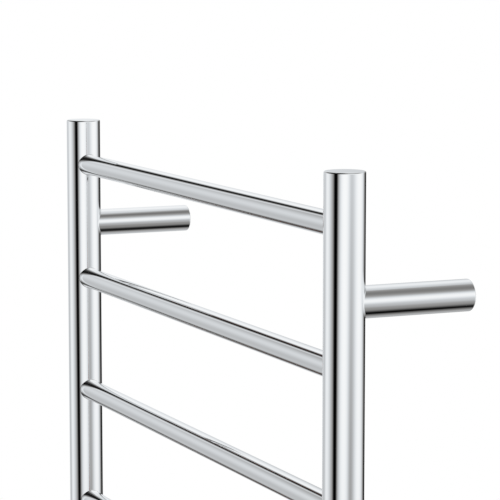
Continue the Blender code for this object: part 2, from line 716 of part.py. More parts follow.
def switch_plunger(looks):
    """The button with its stem, the contact bridge on its neck, and the return spring."""
    at = Vector((AXIS_X, AXIS_Y, END_Z))
    tip = FACE_Z - END_Z - SWITCH_FLANGE - BUTTON_PROUD
    head = tip + BUTTON_HEAD
    bridge = WEB_RISE + WEB + GAP
    outline = [
        (0, tip),
        (SWITCH_BORE / 2 - GAP - 2 * EDGE, tip),
        (SWITCH_BORE / 2 - GAP, tip + EDGE),
        (SWITCH_BORE / 2 - GAP, head),
        (STEM_OD / 2, head),
        (STEM_OD / 2, bridge - GAP / 2),
        (NECK_OD / 2, bridge - GAP / 2),
        (NECK_OD / 2, bridge + BRIDGE_THICKNESS),
        (0, bridge + BRIDGE_THICKNESS),
    ]
    turned("switch_button", outline, looks["chrome"], at)
    spot = at + UP * (bridge + BRIDGE_THICKNESS / 2)
    size = (BRIDGE_WIDTH, BRIDGE_LENGTH, BRIDGE_THICKNESS)
    contact = bar("contact_bridge", size, spot, looks["brass"])
    bore(contact, NECK_OD / 2 + GAP, spot - UP * MM, spot + UP * MM, PIN_SIDES)
    low = head + GAP + SPRING_WIRE / 2
    high = WEB_RISE - GAP - SPRING_WIRE / 2
    radius = (SPRING_OD - SPRING_WIRE) / 2
    steps = SPRING_TURNS * PIN_SIDES
    coil = []
    for step in range(steps + 1):
        turn = math.tau * SPRING_TURNS * step / steps
        rise = low + (high - low) * step / steps
        coil.append(at + Vector((radius * math.cos(turn), radius * math.sin(turn), rise)))
    wire("switch_spring", coil, SPRING_WIRE, looks["steel"], 1)


def main():
    for old in list(bpy.data.objects):
        bpy.data.objects.remove(old, do_unlink=True)
    looks = {
        "chrome": look("chrome", (0.82, 0.83, 0.84), 0.05, 1),
        "steel": look("steel", (0.55, 0.55, 0.56), 0.32, 1),
        "nickel": look("nickel", (0.70, 0.68, 0.64), 0.22, 1),
        "brass": look("brass", (0.72, 0.52, 0.24), 0.3, 1),
        "rubber": look("rubber", (0.03, 0.03, 0.03), 0.75),
        "black": look("black_insulation", (0.05, 0.05, 0.05), 0.5),
        "brown": look("brown_insulation", (0.22, 0.09, 0.04), 0.5),
        "blue": look("blue_insulation", (0.06, 0.16, 0.45), 0.5),
        "green": look("green_insulation", (0.10, 0.38, 0.10), 0.5),
        "silicone": look("silicone", (0.55, 0.17, 0.11), 0.6),
        "ceramic": look("ceramic", (0.86, 0.84, 0.79), 0.4),
        "lens": look("lens", (0.15, 0.42, 0.80), 0.2),
    }
    holes = {"left": GLAND_THREAD_OD / 2 + GAP, "right": SWITCH_BARREL_OD / 2 + GAP}
    for side, way in SIDES.items():
        upright(side, way, looks["chrome"])
        top_cap(side, way, looks["chrome"])
        cap = bottom_cap(side, way, holes[side], looks["chrome"])
        if side == "left":
            spot = Vector((-AXIS_X + EARTH_RADIUS, AXIS_Y, PLUG_TOP))
            depth = EARTH_SCREW_LENGTH + GAP
            bore(cap, EARTH_SCREW_OD / 2 + GAP, spot - UP * depth, spot + UP * MM, PIN_SIDES)
        cap_fixings(side, way, looks["rubber"], looks["steel"])
        wall_mount("top_" + side, way, POST_HEIGHT, looks)
        wall_mount("bottom_" + side, way, -POST_HEIGHT, looks)
    rungs(looks["chrome"])
    heating_cable(looks["silicone"])
    joints_and_cutout(looks["black"], looks["steel"])
    leads(looks)
    terminal_block(looks)
    earth_bond(looks)
    supply_gland(looks)
    switch_case(looks)
    switch_plunger(looks)
    rack = bpy.data.objects.new("towel_warmer", None)
    bpy.context.scene.collection.objects.link(rack)
    for piece in list(bpy.data.objects):
        if piece != rack:
            piece.parent = rack


main()
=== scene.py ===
"""The looks of an electric ladder towel warmer: polished tubes, their fittings, and a studio round them.

Metres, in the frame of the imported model: +X runs along the rungs, +Y points into the wall, +Z is up.
"""

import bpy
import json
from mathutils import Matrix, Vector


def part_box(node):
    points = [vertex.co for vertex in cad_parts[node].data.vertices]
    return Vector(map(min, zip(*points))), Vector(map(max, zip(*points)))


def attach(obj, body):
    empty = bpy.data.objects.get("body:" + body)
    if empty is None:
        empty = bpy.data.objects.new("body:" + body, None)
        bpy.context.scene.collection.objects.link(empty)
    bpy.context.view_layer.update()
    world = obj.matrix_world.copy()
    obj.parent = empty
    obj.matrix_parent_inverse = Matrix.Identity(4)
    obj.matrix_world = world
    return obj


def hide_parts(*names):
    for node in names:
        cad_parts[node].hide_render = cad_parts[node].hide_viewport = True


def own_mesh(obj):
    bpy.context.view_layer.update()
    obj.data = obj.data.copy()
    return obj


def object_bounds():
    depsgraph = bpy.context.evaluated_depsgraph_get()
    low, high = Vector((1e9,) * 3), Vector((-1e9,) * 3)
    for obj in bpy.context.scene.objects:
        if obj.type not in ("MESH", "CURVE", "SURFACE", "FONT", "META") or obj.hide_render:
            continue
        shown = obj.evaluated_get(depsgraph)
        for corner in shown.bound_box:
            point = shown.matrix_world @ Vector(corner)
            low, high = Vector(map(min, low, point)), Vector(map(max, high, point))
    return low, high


bl_info = {
    "name": "Ladder towel warmer",
    "version": (1, 0, 0),
    "blender": (4, 5, 0),
    "location": "View3D > Sidebar > Towel warmer",
    "description": "Builds a chrome ladder towel warmer and its studio round the packed model",
    "category": "Add Mesh",
}

import json
import math
from typing import NamedTuple

import bmesh
import bpy
from mathutils import Matrix, Vector

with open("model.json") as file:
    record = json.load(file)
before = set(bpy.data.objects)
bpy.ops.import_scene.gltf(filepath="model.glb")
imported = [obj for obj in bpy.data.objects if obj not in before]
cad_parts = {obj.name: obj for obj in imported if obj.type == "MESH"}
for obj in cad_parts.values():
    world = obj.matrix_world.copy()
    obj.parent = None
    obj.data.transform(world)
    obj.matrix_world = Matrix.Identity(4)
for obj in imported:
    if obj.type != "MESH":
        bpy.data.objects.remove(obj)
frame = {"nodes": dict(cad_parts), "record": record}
CAD_LOW, CAD_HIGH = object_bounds()

MM = 0.001
SIDES = ("left", "right")
PLACES = ("top_left", "top_right", "bottom_left", "bottom_right")
UP = Vector((0, 0, 1))
DOWN = -UP
TO_WALL = Vector((0, 1, 0))
FROM_WALL = -TO_WALL
RACK = "rack"
BUTTON = "button"

# how finely round things are cut
TUBE_SIDES = 128
FITTING_SIDES = 96
DRILL_SIDES = 64
WIRE_SIDES = 12
COIL_STEPS = 36  # in each turn of the spring
ROUNDING_STEPS = 6
SUPPORT = 0.08 * MM  # flat strip beside a rounded edge, which keeps its shading off the long faces
SHARP_ANGLE = math.radians(32)

# edge roundings, from the crispest to the softest
CRISP = 0.1 * MM
BROKEN = 0.2 * MM
EASED = 0.3 * MM
SOFT = 0.5 * MM

DRILL_CLEARANCE = 0.15 * MM  # a drilled hole's radius over its screw's
STRIPE_SIDE = (0.8, -0.6, 0)  # the side of the earth lead that its stripe runs along


def middle(node):
    """The centre of a CAD node's box."""
    low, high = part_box(node)
    return (low + high) / 2


def span(node):
    """The size of a CAD node's box along each axis."""
    low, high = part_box(node)
    return high - low


def axis_of(node):
    """The point at level zero on the upright line through a node's middle."""
    spot = middle(node)
    return Vector((spot.x, spot.y, 0))


# ---- sizes and colours


def number(name, description, default, **limits):
    """A number that the user may change."""
    return bpy.props.FloatProperty(name=name, description=description, default=default, **limits)


def size(name, description, default, low=0.0, high=0.05):
    """A length that the user may change."""
    return number(name, description, default, min=low, max=high, unit="LENGTH", precision=5)


def share(name, description, default):
    """A share from 0 to 1 that the user may change."""
    return number(name, description, default, min=0, max=1, subtype="FACTOR")


def angle(name, description, degrees):
    """An angle that the user may change."""
    return number(name, description, math.radians(degrees), subtype="ANGLE")


def count(name, description, default, least):
    """A whole number that the user may change."""
    return bpy.props.IntProperty(name=name, description=description, default=default, min=least)


def colour(name, description, default):
    """A colour that the user may change."""
    kind = {"size": 3, "min": 0, "max": 1, "subtype": "COLOR"}
    return bpy.props.FloatVectorProperty(name=name, description=description, default=default, **kind)


class TubeSizes(bpy.types.PropertyGroup):
    """Sizes of the polished tubes and of their caps"""

    upright_wall: size("Upright wall", "Thickness of the uprights' tube", 1.5 * MM)
    rung_wall: size("Rung wall", "Thickness of the rungs' tube", 1.2 * MM)
    post_wall: size("Post wall", "Thickness of the wall posts' tube", 2.5 * MM)
    weld: size("Weld", "Radius of the polished weld round each joint", 0.55 * MM)
    post_edge: size("Post edge", "Rounding of the posts' wall ends", 1.0 * MM)
    cap_edge: size("Cap edge", "Rounding of the caps' rims", 1.2 * MM)
    seam: size("Seam", "Edge break where a bottom cap meets its upright", 0.12 * MM)


class FittingSizes(bpy.types.PropertyGroup):
    """Sizes of the small fittings at the foot and at the wall"""

    gland_flats: size("Gland flats", "Width across the gland's flats", 15.0 * MM)
    gland_bore: size("Gland bore", "Diameter of the gland's cable hole", 6.8 * MM)
    flute_depth: size("Flute depth", "Depth of the grip flutes in the gland nut", 0.3 * MM)
    flutes: count("Flutes", "Number of grip flutes round the gland nut", 24, least=6)
    lens_width: size("Lens width", "Width of the lit ring round the button", 1.4 * MM)
    button_dish: size("Button dish", "Depth of the hollow in the button's face", 0.35 * MM)
    spring_wire: size("Spring wire", "Thickness of the button's spring wire", 0.6 * MM)
    spring_turns: count("Spring turns", "Turns of the button's spring", 4, least=3)
    boss_bore: size("Boss bore", "Hole for the wall screw in each boss", 5.5 * MM)
    boss_head: size("Boss head", "Recess for the wall screw's head in each boss", 11.0 * MM)


class FinishColours(bpy.types.PropertyGroup):
    """Colours of every finish on the rack"""

    chrome: colour("Chrome", "Polished chrome plate", (0.955, 0.962, 0.966))
    steel: colour("Steel", "Turned stainless steel of bosses and screws", (0.55, 0.55, 0.56))
    nickel: colour("Nickel", "Nickel plate of the gland and the switch's nut", (0.70, 0.68, 0.64))
    brass: colour("Brass", "Contacts, terminal screws and earth tag", (0.72, 0.52, 0.24))
    rubber: colour("Rubber", "Seals and gaskets", (0.03, 0.03, 0.03))
    black_insulation: colour("Black", "Black sleeves, load lead and switch base", (0.05, 0.05, 0.05))
    brown_insulation: colour("Brown", "Live lead", (0.22, 0.09, 0.04))
    blue_insulation: colour("Blue", "Return lead", (0.06, 0.16, 0.45))
    green_insulation: colour("Green", "Earth lead", (0.10, 0.38, 0.10))
    earth_stripe: colour("Stripe", "Stripe along the earth lead", (0.85, 0.68, 0.05))
    silicone: colour("Silicone", "Jacket of the heating cable", (0.55, 0.17, 0.11))
    ceramic: colour("Ceramic", "Terminal block", (0.86, 0.84, 0.79))
    lens: colour("Lens", "Ring round the button", (0.15, 0.42, 0.80))


class StudioSettings(bpy.types.PropertyGroup):
    """The camera, the floor, the lamp and the tent that the chrome reflects"""

    azimuth: angle("Azimuth", "Camera's turn from straight in front, to the right", 66.086)
    elevation: angle("Elevation", "Camera's angle above level", 7.313)
    distance: size("Distance", "Camera to the point it looks at", 1.9466, 0.1, 20)
    aim_across: size("Aim across", "Point looked at, right of the centre", 0.1102, -1, 1)
    aim_height: size("Aim height", "Point looked at, above the centre of the posts", 0.2893, -1, 1)
    lens: number("Lens", "Camera's focal length", 172.3, unit="CAMERA")
    floor_drop: size("Floor drop", "Foot of the rack to the floor", 0.35, 0, 2)
    floor_radius: size("Floor radius", "Radius of the round floor", 3.0, 0.5, 6)
    floor_colour: colour("Floor colour", "The pale floor", (0.97, 0.97, 0.97))
    tent_radius: size("Tent radius", "Radius of the light tent", 8.0, 2, 30)
    tent_white: share("Tent white", "Brightness of the tent where no felt hangs", 1.0)
    room_light: share("Room light", "Light that the room gives to plain surfaces", 0.70)
    sun_strength: number("Sun strength", "Strength of the one soft lamp", 1.0, min=0)
    sun_angle: angle("Sun angle", "How wide the lamp looks, which softens its shadows", 6)


# ---- shader expressions


class Flow:
    """A node's output that takes part in Python sums. Each sum adds its Math node."""

    def __init__(self, socket):
        self.socket = socket

    def math(self, operation, *values):
        tree = self.socket.id_data
        return add_node(tree, "ShaderNodeMath", {"operation": operation}, dict(enumerate(values)))

    def __add__(self, other):
        return self.math("ADD", self, other)

    __radd__ = __add__

    def __sub__(self, other):
        return self.math("SUBTRACT", self, other)

    def __rsub__(self, other):
        return self.math("SUBTRACT", other, self)

    def __mul__(self, other):
        return self.math("MULTIPLY", self, other)

    __rmul__ = __mul__

    def __pow__(self, other):
        return self.math("POWER", self, other)

    def at_most(self, other):
        return self.math("MINIMUM", self, other)

    def at_least(self, other):
        return self.math("MAXIMUM", self, other)


def add_node(tree, kind, settings=None, sockets=None, output=0):
    """Adds a node: its settings, then the values or links of its sockets. Gives one output."""
    made = tree.nodes.new(kind)
    for name, value in (settings or {}).items():
        setattr(made, name, value)
    for name, value in (sockets or {}).items():
        feed(socket_of(made.inputs, name), value)
    return Flow(socket_of(made.outputs, output)) if made.outputs else made


def socket_of(sockets, name):
    """The socket at this place in the row, or the one in use that has this name."""
    if isinstance(name, int):
        return sockets[name]
    return next(socket for socket in sockets if socket.name == name and socket.enabled)


def feed(socket, value):
    """Links a node's output to a socket, or sets a plain value on it."""
    if isinstance(value, Flow):
        socket.id_data.links.new(value.socket, socket)
    else:
        socket.default_value = value


class Finish:
    """A surface finish in the making: its node tree and its one Principled shader."""

    def __init__(self, name):
        self.material = bpy.data.materials.new(name)
        self.material.use_nodes = True
        self.tree = self.material.node_tree
        self.surface = self.tree.nodes["Principled BSDF"]

    def node(self, kind, settings=None, sockets=None, output=0):
        return add_node(self.tree, kind, settings, sockets, output)

    def place(self):
        return self.node("ShaderNodeTexCoord", output="Object")

    def noise(self, per_metre, detail=3, vector=None):
        """A noise from 0 to 1, of so many grains in a metre."""
        sockets = {"Vector": vector or self.place(), "Scale": per_metre, "Detail": detail}
        return self.node("ShaderNodeTexNoise", None, sockets, "Fac")

    def blend(self, amount, first, second):
        """A colour between two others."""
        sockets = {"Factor": amount, "A": rgba(first), "B": rgba(second)}
        return self.node("ShaderNodeMix", {"data_type": "RGBA"}, sockets, "Result")

    def bump(self, height, distance, strength):
        sockets = {"Height": height, "Distance": distance, "Strength": strength}
        return self.node("ShaderNodeBump", None, sockets, "Normal")

    def paint(self, **sockets):
        """Sets or links the surface's own sockets, named with _ for a space."""
        for name, value in sockets.items():
            title = name.replace("_", " ").title().replace("Ior", "IOR")
            feed(self.surface.inputs[title], value)
        return self.material


def step_up(value, start, rate):
    """Rises from 0 at the start to 1 at this rate, and stays there."""
    return ((value - start) * rate).at_least(0.0).at_most(1.0)


def rgba(value):
    """A colour with its fourth number, or the link it already is."""
    return value if isinstance(value, Flow) else (*tuple(value)[:3], 1)


def shade_of(value, amount):
    """The same colour made lighter or darker."""
    return tuple(min(part * amount, 1) for part in value)


# ---- finishes


def chrome_finish(name, base):
    """Polished plate: near mirror, with the faintest haze left by the buffing wheel."""
    finish = Finish(name)
    haze = finish.noise(14)
    grain = finish.noise(2600, detail=2)
    return finish.paint(
        base_color=finish.blend(haze, shade_of(base, 0.985), base),
        metallic=1.0,
        roughness=0.018 + haze * 0.022 + grain * 0.008,
        normal=finish.bump(grain, distance=0.6e-6, strength=0.5),
    )


def lathe_finish(name, base):
    """Turned metal: fine rings that follow the tool round the piece."""
    finish = Finish(name)
    cut = finish.node("ShaderNodeAttribute", {"attribute_name": "cut"}, None, "Fac")
    track = finish.node("ShaderNodeCombineXYZ", None, {"X": cut})
    rings = finish.noise(6500, vector=track)
    passes = finish.noise(1900, vector=track)
    wear = finish.noise(240, detail=4)
    tone = passes * 0.6 + wear * 0.4
    return finish.paint(
        base_color=finish.blend(tone, shade_of(base, 0.62), shade_of(base, 1.28)),
        metallic=1.0,
        roughness=0.22 + rings * 0.08 + passes * 0.12,
        normal=finish.bump(rings + passes * 3.0, distance=1.2e-5, strength=0.7),
    )


def plated_finish(name, base, roughness):
    """Plated or bare brass: smooth, with a soft cloudy variation of gloss."""
    finish = Finish(name)
    cloud = finish.noise(180, detail=4)
    grain = finish.noise(4200, detail=2)
    return finish.paint(
        base_color=finish.blend(cloud, shade_of(base, 0.92), shade_of(base, 1.04)),
        metallic=1.0,
        roughness=roughness + cloud * 0.1,
        normal=finish.bump(grain, distance=2e-6, strength=0.4),
    )


def rubber_finish(name, base):
    """Moulded rubber: matt, with a fine grain and a trace of talc."""
    finish = Finish(name)
    grain = finish.noise(5200)
    talc = finish.noise(320, detail=5)
    return finish.paint(
        base_color=finish.blend(talc**2.0, base, shade_of(base, 2.2)),
        roughness=0.62 + grain * 0.25,
        specular_ior_level=0.35,
        normal=finish.bump(grain, distance=2e-5, strength=0.6),
    )


def insulation_finish(name, base, stripe):
    """Extruded insulation: satin, its colour drifting along the wire, with a stripe where one is given."""
    finish = Finish(name)
    drift = finish.noise(90)
    draw = finish.noise(3200, detail=2)
    colour_along = finish.blend(drift, shade_of(base, 0.86), shade_of(base, 1.12))
    if stripe:
        outward = finish.node("ShaderNodeTexCoord", output="Normal")
        settings = {"operation": "DOT_PRODUCT"}
        side = finish.node("ShaderNodeVectorMath", settings, {0: outward, 1: STRIPE_SIDE}, "Value")
        colour_along = finish.blend(step_up(side, start=0.3, rate=14.0), colour_along, stripe)
    return finish.paint(
        base_color=colour_along,
        roughness=0.36 + draw * 0.14,
        normal=finish.bump(draw, distance=1e-5, strength=0.4),
    )


def silicone_finish(name, base):
    """Silicone jacket: soft, dull and slightly dusty."""
    finish = Finish(name)
    dust = finish.noise(420, detail=5)
    skin = finish.noise(2400, detail=2)
    return finish.paint(
        base_color=finish.blend(dust, shade_of(base, 0.9), shade_of(base, 1.18)),
        roughness=0.5 + dust * 0.2,
        subsurface_weight=0.08,
        subsurface_scale=0.0015,
        normal=finish.bump(skin, distance=1.5e-5, strength=0.4),
    )


def ceramic_finish(name, base):
    """Glazed steatite: off-white, with sparse darker specks under the glaze."""
    finish = Finish(name)
    specks = finish.noise(2300, detail=2)
    dark = step_up(specks, start=0.66, rate=9.0)
    body = finish.noise(150)
    return finish.paint(
        base_color=finish.blend(
            dark * 0.5, finish.blend(body, shade_of(base, 0.95), base), shade_of(base, 0.45)
        ),
        roughness=0.3 + body * 0.16,
        normal=finish.bump(specks, distance=1.2e-5, strength=0.35),
    )


def lens_finish(name, base):
    """Tinted clear plastic with a frosted back that spreads its lamp's light."""
    finish = Finish(name)
    frost = finish.noise(2800)
    return finish.paint(
        base_color=finish.blend(frost, shade_of(base, 0.85), shade_of(base, 1.15)),
        roughness=0.16 + frost * 0.12,
        transmission_weight=0.35,
        coat_weight=0.4,
        normal=finish.bump(frost, distance=4e-6, strength=0.4),
    )


def finishes():
    """Every finish of the rack, made once from the panel's colours."""
    if "Towel warmer chrome" not in bpy.data.materials:
        look = bpy.context.scene.warmer_colours
        chrome_finish("Towel warmer chrome", look.chrome)
        lathe_finish("Towel warmer steel", look.steel)
        plated_finish("Towel warmer nickel", look.nickel, roughness=0.15)
        plated_finish("Towel warmer brass", look.brass, roughness=0.23)
        rubber_finish("Towel warmer rubber", look.rubber)
        for hue in ("black", "brown", "blue", "green"):
            title = hue + "_insulation"
            stripe = tuple(look.earth_stripe) if hue == "green" else None
            insulation_finish("Towel warmer " + title, getattr(look, title), stripe)
        silicone_finish("Towel warmer silicone", look.silicone)
        ceramic_finish("Towel warmer ceramic", look.ceramic)
        lens_finish("Towel warmer lens", look.lens)
    return bpy.data.materials


# ---- mesh code


def rounded(corners, steps=ROUNDING_STEPS):
    """Points of an outline whose (radius, height, rounding) corners are turned into arcs."""
    points = []
    for index, (radius, height, edge) in enumerate(corners):
        corner = Vector((radius, height))
        if not edge:
            points.append(tuple(corner))
            continue
        before = Vector(corners[index - 1][:2]) - corner
        after = Vector(corners[(index + 1) % len(corners)][:2]) - corner
        half = before.angle(after) / 2
        back = before.normalized()
        onward = after.normalized()
        reach = edge / math.tan(half)
        centre = corner + (back + onward).normalized() * edge / math.sin(half)
        start = corner + back * reach
        end = corner + onward * reach
        points.append(tuple(start + back * min(SUPPORT, before.length / 4)))
        from_centre = start - centre
        sweep = from_centre.angle_signed(end - centre)
        for step in range(steps + 1):
            turn = Matrix.Rotation(-sweep * step / steps, 2)
            points.append(tuple(centre + turn @ from_centre))
        points.append(tuple(end + onward * min(SUPPORT, after.length / 4)))
    return points


def quarter(steps):
    """The sine and the cosine at each step of a quarter turn."""
    turns = [math.pi / 2 * step / steps for step in range(steps + 1)]
    return [(math.sin(turn), math.cos(turn)) for turn in turns]


def mesh_of(name, shape):
    """The mesh of a finished shape, which is used up."""
    mesh = bpy.data.meshes.new(name)
    shape.to_mesh(mesh)
    shape.free()
    return mesh


def in_scene(name, data):
    """A new object of this name in the scene."""
    thing = bpy.data.objects.new(name, data)
    bpy.context.scene.collection.objects.link(thing)
    return thing


def smooth(mesh):
    mesh.shade_smooth()
    mesh.set_sharp_from_angle(angle=SHARP_ANGLE)


def finished(node, form, shape, slot, at, along=UP, body=RACK):
    """Makes, shades and places the piece of this form, and lets it ride for its CAD node."""
    bmesh.ops.recalc_face_normals(shape, faces=shape.faces)
    name = node + "_" + form
    mesh = mesh_of(name, shape)
    mesh.transform(UP.rotation_difference(along).to_matrix().to_4x4())
    mesh.transform(Matrix.Translation(at))
    smooth(mesh)
    mesh.materials.append(finishes()["Towel warmer " + slot])
    piece = in_scene(name, mesh)
    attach(piece, body)
    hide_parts(node)
    return piece


def joined(rings, closed=True):
    """A shape with faces between rings of points that follow each other. A ring of one point is a pole.

    Each point also keeps how far along the outline it lies, for a finish that follows the tool.
    """
    shape = bmesh.new()
    layer = shape.verts.layers.float.new("cut")
    rows = []
    run = 0.0
    for index, ring in enumerate(rings):
        if index:
            run += math.dist(ring[0], rings[index - 1][0])
        row = [shape.verts.new(point) for point in ring]
        for vertex in row:
            vertex[layer] = run
        rows.append(row)
    pairs = list(zip(rows, rows[1:]))
    if closed:
        pairs.append((rows[-1], rows[0]))
    for here, following in pairs:
        sides = max(len(here), len(following))
        for side in range(sides):
            ahead = (side + 1) % sides
            places = ((here, side), (here, ahead), (following, ahead), (following, side))
            corners = list(dict.fromkeys(row[place % len(row)] for row, place in places))
            if len(corners) > 2:
                shape.faces.new(corners)
    return shape


def ring_of(radius_at, height, sides=FITTING_SIDES):
    """A ring of points round local Z, at a radius that may change with the turn."""
    ring = []
    for side in range(sides):
        turn = math.tau * side / sides
        radius = radius_at(turn)
        ring.append((radius * math.cos(turn), radius * math.sin(turn), height))
    return ring


def circle(radius, height, sides=FITTING_SIDES):
    """A round ring of points, or one point on local Z."""
    return ring_of(lambda turn: radius, height, sides) if radius else [(0, 0, height)]


def hexagon(flats, height, most=math.inf):
    """A ring of points on a hexagon, its corners cut back to a radius."""

    def radius_at(turn):
        off = (turn + math.pi / 6) % (math.pi / 3) - math.pi / 6
        return min(flats / 2 / math.cos(off), most)

    return ring_of(radius_at, height)


def turned(node, form, corners, slot, at, along=UP, sides=FITTING_SIDES):
    """A piece turned about its axis from a closed outline of rounded corners."""
    shape = joined([circle(radius, height, sides) for radius, height in rounded(corners)])
    return finished(node, form, shape, slot, at, along)


def sleeve(node, form, inner, edges, slot, at, sides=FITTING_SIDES):
    """A plain sleeve as wide and as high as its CAD node. Its edges go round from the inner lower one."""
    low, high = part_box(node)
    outer = span(node).x / 2
    places = ((inner, low.z), (outer, low.z), (outer, high.z), (inner, high.z))
    corners = [(*place, edge) for place, edge in zip(places, edges)]
    turned(node, form, corners, slot, at, sides=sides)


def gasket(node, hole):
    """A flat rubber ring, its outer edge slightly bulged by the load on it."""
    bulge = 0.45 * span(node).z
    sleeve(node, "ring", hole, (0, bulge, bulge, 0), "rubber", axis_of(node))


def drill(piece, start, way, radius):
    """Cuts a round hole into a piece from a point, this way and this far."""
    shape = bmesh.new()
    bmesh.ops.create_cone(
        shape, cap_ends=True, segments=DRILL_SIDES, radius1=radius, radius2=radius, depth=way.length
    )
    mesh = mesh_of("drill", shape)
    mesh.transform(UP.rotation_difference(way.normalized()).to_matrix().to_4x4())
    tool = in_scene("drill", mesh)
    tool.location = start + way / 2
    cut = piece.modifiers.new("hole", "BOOLEAN")
    cut.solver = "EXACT"
    cut.object = tool
    bpy.context.view_layer.update()
    solid = bpy.data.meshes.new_from_object(piece.evaluated_get(bpy.context.evaluated_depsgraph_get()))
    piece.modifiers.clear()
    piece.data = solid
    solid.name = piece.name
    smooth(solid)
    bpy.data.objects.remove(tool)


def flared_end(radius, inner, weld, host, let_in):
    """Rings of a tube's end that meets a round host tube with a small polished weld.

    Local Z runs from the joint outwards along the tube, from 0 at the host's axis; local X
    is across the host. The rings run from the bore, let into the host, to the outside.
    """

    def ring(ring_radius, lift):
        points = []
        for across, along, level in circle(ring_radius, lift, TUBE_SIDES):
            surface = math.sqrt(max(host**2 - across**2, 0))
            points.append((across, along, surface + level))
        return points

    rings = [ring(inner, -let_in), ring(radius + weld, -let_in)]
    for sine, cosine in quarter(ROUNDING_STEPS):
        rings.append(ring(radius + weld * (1 - sine), weld * (1 - cosine)))
    rings.append(ring(radius, weld + SUPPORT * 2))
    return rings


# ---- pieces


class WARMER_OT_uprights(bpy.types.Operator):
    """Builds the two uprights, each with its flush top cap and its bottom cap"""

    bl_idname = "warmer.uprights"
    bl_label = "Uprights and caps"

    disc = 2 * MM  # thickness of a top cap over its upright
    tube_drop = 0.25 * MM  # the tube is this much longer than packed, so that its lower seam is fine,
    cap_drop = 0.28 * MM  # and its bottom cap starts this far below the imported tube's end
    slip = 0.05 * MM  # gap round a cap's plug
    holes = {"left": 5.75 * MM, "right": 7.75 * MM}  # radii, for the gland and for the switch

    def execute(self, context):
        sizes = context.scene.warmer_tubes
        for side in SIDES:
            self.tube(side, sizes)
            self.top_cap(side, sizes)
            self.bottom_cap(side, sizes)
        return {"FINISHED"}

    def tube(self, side, sizes):
        node = "upright_" + side
        outer = span(node).x / 2
        inner = outer - sizes.upright_wall
        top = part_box("top_cap_" + side)[1].z - self.disc
        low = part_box(node)[0].z - self.tube_drop
        screw = middle("cap_screw_" + side)
        width = span("cap_screw_" + side).x
        corners = [
            (inner, low, 0),
            (outer, low, sizes.seam),
            (outer, screw.z - width, 0),
            (outer, screw.z + width, 0),
            (outer, top, 0),
            (inner, top, 0),
        ]
        at = axis_of(node)
        piece = turned(node, "tube", corners, "chrome", at, sides=TUBE_SIDES)
        start = Vector((at.x, at.y + inner - MM, screw.z))
        drill(piece, start, TO_WALL * 4 * MM, width / 2 + DRILL_CLEARANCE)

    def top_cap(self, side, sizes):
        node = "top_cap_" + side
        low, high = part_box(node)
        outer = span(node).x / 2
        seat = high.z - self.disc
        web = seat - MM
        plug = outer - sizes.upright_wall - self.slip
        hollow = plug - 2 * MM
        corners = [
            (0, high.z, 0),
            (0, web, 0),
            (hollow, web, EASED),
            (hollow, low.z, BROKEN),
            (plug, low.z, BROKEN),
            (plug, seat, 0),
            (outer, seat, 0),
            (outer, high.z, sizes.cap_edge),
        ]
        turned(node, "disc", corners, "chrome", axis_of(node), sides=TUBE_SIDES)

    def bottom_cap(self, side, sizes):
        node = "bottom_cap_" + side
        low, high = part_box(node)
        outer = span(node).x / 2
        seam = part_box("upright_" + side)[0].z - self.cap_drop
        plug = outer - sizes.upright_wall - self.slip
        hole = self.holes[side]
        corners = [
            (hole, low.z, BROKEN),
            (outer, low.z, sizes.cap_edge),
            (outer, seam, sizes.seam),
            (plug, seam, 0),
            (plug, high.z, EASED),
            (hole, high.z, BROKEN),
        ]
        turned(node, "plug", corners, "chrome", axis_of(node), sides=TUBE_SIDES)


class WARMER_OT_rungs(bpy.types.Operator):
    """Builds the rungs, coped and welded to the uprights"""

    bl_idname = "warmer.rungs"
    bl_label = "Rungs"

    def execute(self, context):
        sizes = context.scene.warmer_tubes
        host = span("upright_left").x / 2
        for node in sorted(frame["nodes"]):
            if node.startswith("rung_"):
                self.rung(node, host, sizes)
        return {"FINISHED"}

    def rung(self, node, host, sizes):
        radius = span(node).z / 2
        inner = radius - sizes.rung_wall
        reach = middle("upright_right").x
        ends = flared_end(radius, inner, sizes.weld, host, let_in=0.9 * MM)
        # local x is across the upright, which is the rack's Y; local y is its Z
        left = [[(height - reach, across, rise) for across, rise, height in ring] for ring in ends]
        right = [[(reach - height, across, rise) for across, rise, height in ring] for ring in ends]
        at = (0, middle(node).y, middle(node).z)
        piece = finished(node, "tube", joined(left + right[::-1]), "chrome", at)
        # kept out of the other pieces' reflections, so that each tube has clean lines
        piece.visible_glossy = False


